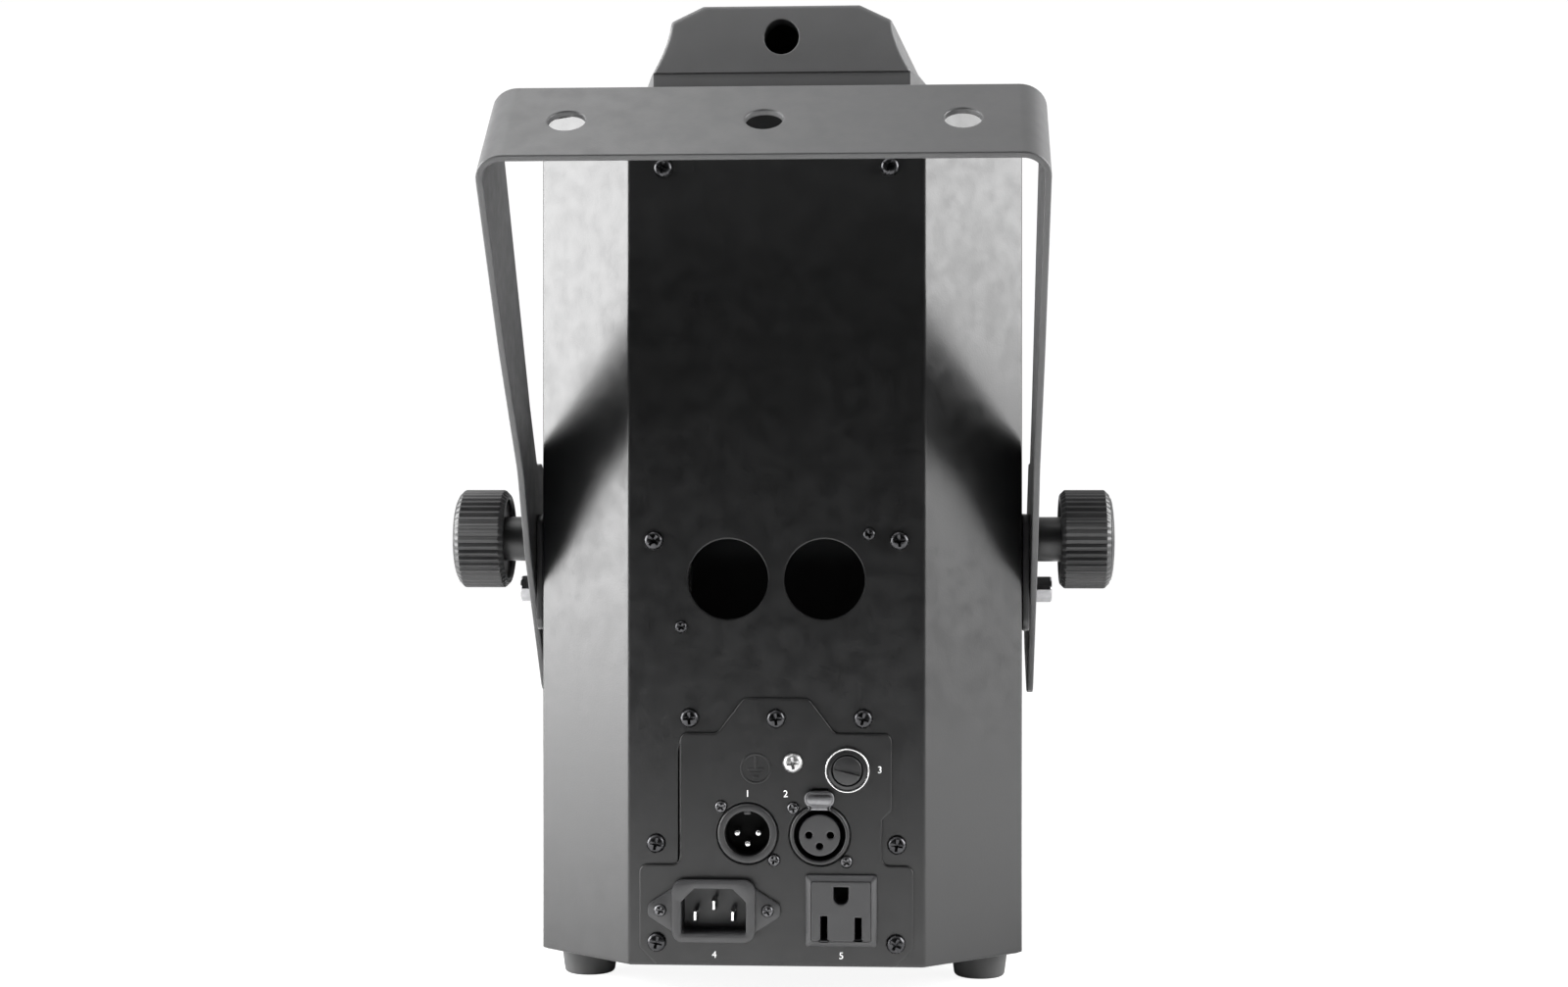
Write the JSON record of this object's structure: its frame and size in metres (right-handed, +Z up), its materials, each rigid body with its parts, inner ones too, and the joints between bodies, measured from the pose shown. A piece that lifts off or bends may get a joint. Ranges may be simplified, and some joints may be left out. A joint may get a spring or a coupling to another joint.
{
  "type": "led scanner light",
  "caption": "Scanner stage light: upright folded body on feet, tilting yoke with clamp knobs, hooded moving mirror, and a rear panel of power and signal connectors.",
  "frame": {"origin": "under the middle of the overall box, on the floor, with the yoke tilted back as in the picture", "axes": "+Z up, +Y the way the beam leaves, so the connector panel faces -Y; +X to the right seen from the rear"},
  "size_m": [0.2568, 0.261, 0.3765],
  "materials": {
    "aluminium": "satin",
    "black_paint": "fine powder coat",
    "black_screw": "black zinc",
    "board": "solder resist",
    "bright_steel": "bright zinc",
    "dark_paint": "fine powder coat",
    "display": "smoked",
    "glass": "clear",
    "hood_plastic": "fine grain",
    "knob_plastic": "satin",
    "led": "phosphor",
    "mirror": "polished",
    "motor": "satin",
    "plated_steel": "satin plate",
    "rubber": "matte",
    "shell_plastic": "fine grain",
    "socket_plastic": "satin"
  },
  "bodies": {
    "body": {"base_plate": "dark_paint", "board_screw_left": "black_screw", "board_screw_right": "black_screw", "chassis": "dark_paint", "colour_motor": "motor", "condenser_holder": "aluminium", "condenser_lens": "glass", "control_board": "board", "display": "display", "engine_frame": "plated_steel", "fan_frame": "socket_plastic", "foot_1": "rubber", "foot_2": "rubber", "foot_3": "rubber", "foot_4": "rubber", "frame_rail_left": "plated_steel", "frame_rail_right": "plated_steel", "front_shell": "shell_plastic", "fuse_holder": "plated_steel", "gobo_motor": "motor", "ground_screw": "bright_steel", "head_plate": "black_paint", "heatsink": "aluminium", "iec_inlet": "socket_plastic", "io_plate": "dark_paint", "led_module": "led", "lens_collar": "black_paint", "lens_deck": "black_paint", "mirror_hood": "hood_plastic", "nut_bar": "plated_steel", "pan_motor": "motor", "power_board": "board", "power_outlet": "socket_plastic", "rear_cover": "black_paint", "side_plate_left": "socket_plastic", "side_plate_right": "socket_plastic", "stop_pin_left": "plated_steel", "stop_pin_right": "plated_steel", "xlr_input": "socket_plastic", "xlr_output": "socket_plastic", "xlr_output_insert": "socket_plastic"},
    "yoke": {"yoke": "dark_paint"},
    "knob_left": {"knob_left": "knob_plastic"},
    "knob_right": {"knob_right": "knob_plastic"},
    "pan": {"pan_bracket": "aluminium", "tilt_motor": "motor"},
    "mirror": {"mirror_carrier": "aluminium", "mirror_glass": "mirror"},
    "latch": {"xlr_latch": "plated_steel"},
    "fuse_cap": {"fuse_cap": "socket_plastic"},
    "button_1": {"button_1": "knob_plastic"},
    "button_2": {"button_2": "knob_plastic"},
    "button_3": {"button_3": "knob_plastic"},
    "button_4": {"button_4": "knob_plastic"},
    "barrel": {"focus_barrel": "black_paint", "objective_lens": "glass"},
    "focus_screw": {"focus_screw": "plated_steel"},
    "colour_wheel": {"colour_wheel": "glass"},
    "gobo_wheel": {"gobo_wheel": "aluminium"},
    "fan_rotor": {"fan_rotor": "socket_plastic"}
  },
  "joints": [
    {"name": "yoke_tilt", "type": "hinge", "parent": "body", "child": "yoke", "pos_m": [0, 0.005, 0.1705], "axis": [1, 0, 0], "range_deg": [-26, 33]},
    {"name": "knob_left_turn", "type": "hinge", "parent": "body", "child": "knob_left", "pos_m": [-0.0982, 0.005, 0.1705], "axis": [-1, 0, 0], "continuous": true},
    {"name": "knob_right_turn", "type": "hinge", "parent": "body", "child": "knob_right", "pos_m": [0.0982, 0.005, 0.1705], "axis": [1, 0, 0], "continuous": true},
    {"name": "mirror_pan", "type": "hinge", "parent": "body", "child": "pan", "pos_m": [0, 0.075, 0.3328], "axis": [0, 0, 1], "range_deg": [-90, 90]},
    {"name": "mirror_tilt", "type": "hinge", "parent": "pan", "child": "mirror", "pos_m": [0, 0.075, 0.2968], "axis": [1, 0, 0], "range_deg": [-22.5, 22.5]},
    {"name": "latch_press", "type": "slide", "parent": "body", "child": "latch", "axis": [0, 1, 0], "range_m": [0, 0.0015], "stiffness_N_per_m": 400, "springref_m": -0.001},
    {"name": "fuse_cap_turn", "type": "hinge", "parent": "body", "child": "fuse_cap", "pos_m": [0.0266, -0.045, 0.0856], "axis": [0, -1, 0], "range_deg": [0, 60]},
    {"name": "button_1_press", "type": "slide", "parent": "body", "child": "button_1", "axis": [0, -1, 0], "range_m": [0, 0.0008], "stiffness_N_per_m": 300, "springref_m": -0.001},
    {"name": "button_2_press", "type": "slide", "parent": "body", "child": "button_2", "axis": [0, -1, 0], "range_m": [0, 0.0008], "stiffness_N_per_m": 300, "springref_m": -0.001},
    {"name": "button_3_press", "type": "slide", "parent": "body", "child": "button_3", "axis": [0, -1, 0], "range_m": [0, 0.0008], "stiffness_N_per_m": 300, "springref_m": -0.001},
    {"name": "button_4_press", "type": "slide", "parent": "body", "child": "button_4", "axis": [0, -1, 0], "range_m": [0, 0.0008], "stiffness_N_per_m": 300, "springref_m": -0.001},
    {"name": "focus_slide", "type": "slide", "parent": "body", "child": "barrel", "axis": [0, 0, 1], "range_m": [-0.003, 0.003]},
    {"name": "focus_screw_turn", "type": "hinge", "parent": "barrel", "child": "focus_screw", "pos_m": [0, 0.1043, 0.2551], "axis": [0, 1, 0], "continuous": true},
    {"name": "colour_wheel_spin", "type": "hinge", "parent": "body", "child": "colour_wheel", "pos_m": [-0.031, 0.075, 0.1473], "axis": [0, 0, 1], "continuous": true},
    {"name": "gobo_wheel_spin", "type": "hinge", "parent": "body", "child": "gobo_wheel", "pos_m": [0.031, 0.075, 0.1533], "axis": [0, 0, 1], "continuous": true},
    {"name": "fan_spin", "type": "hinge", "parent": "body", "child": "fan_rotor", "pos_m": [0, 0.075, 0.0567], "axis": [0, 0, 1], "continuous": true}
  ]
}
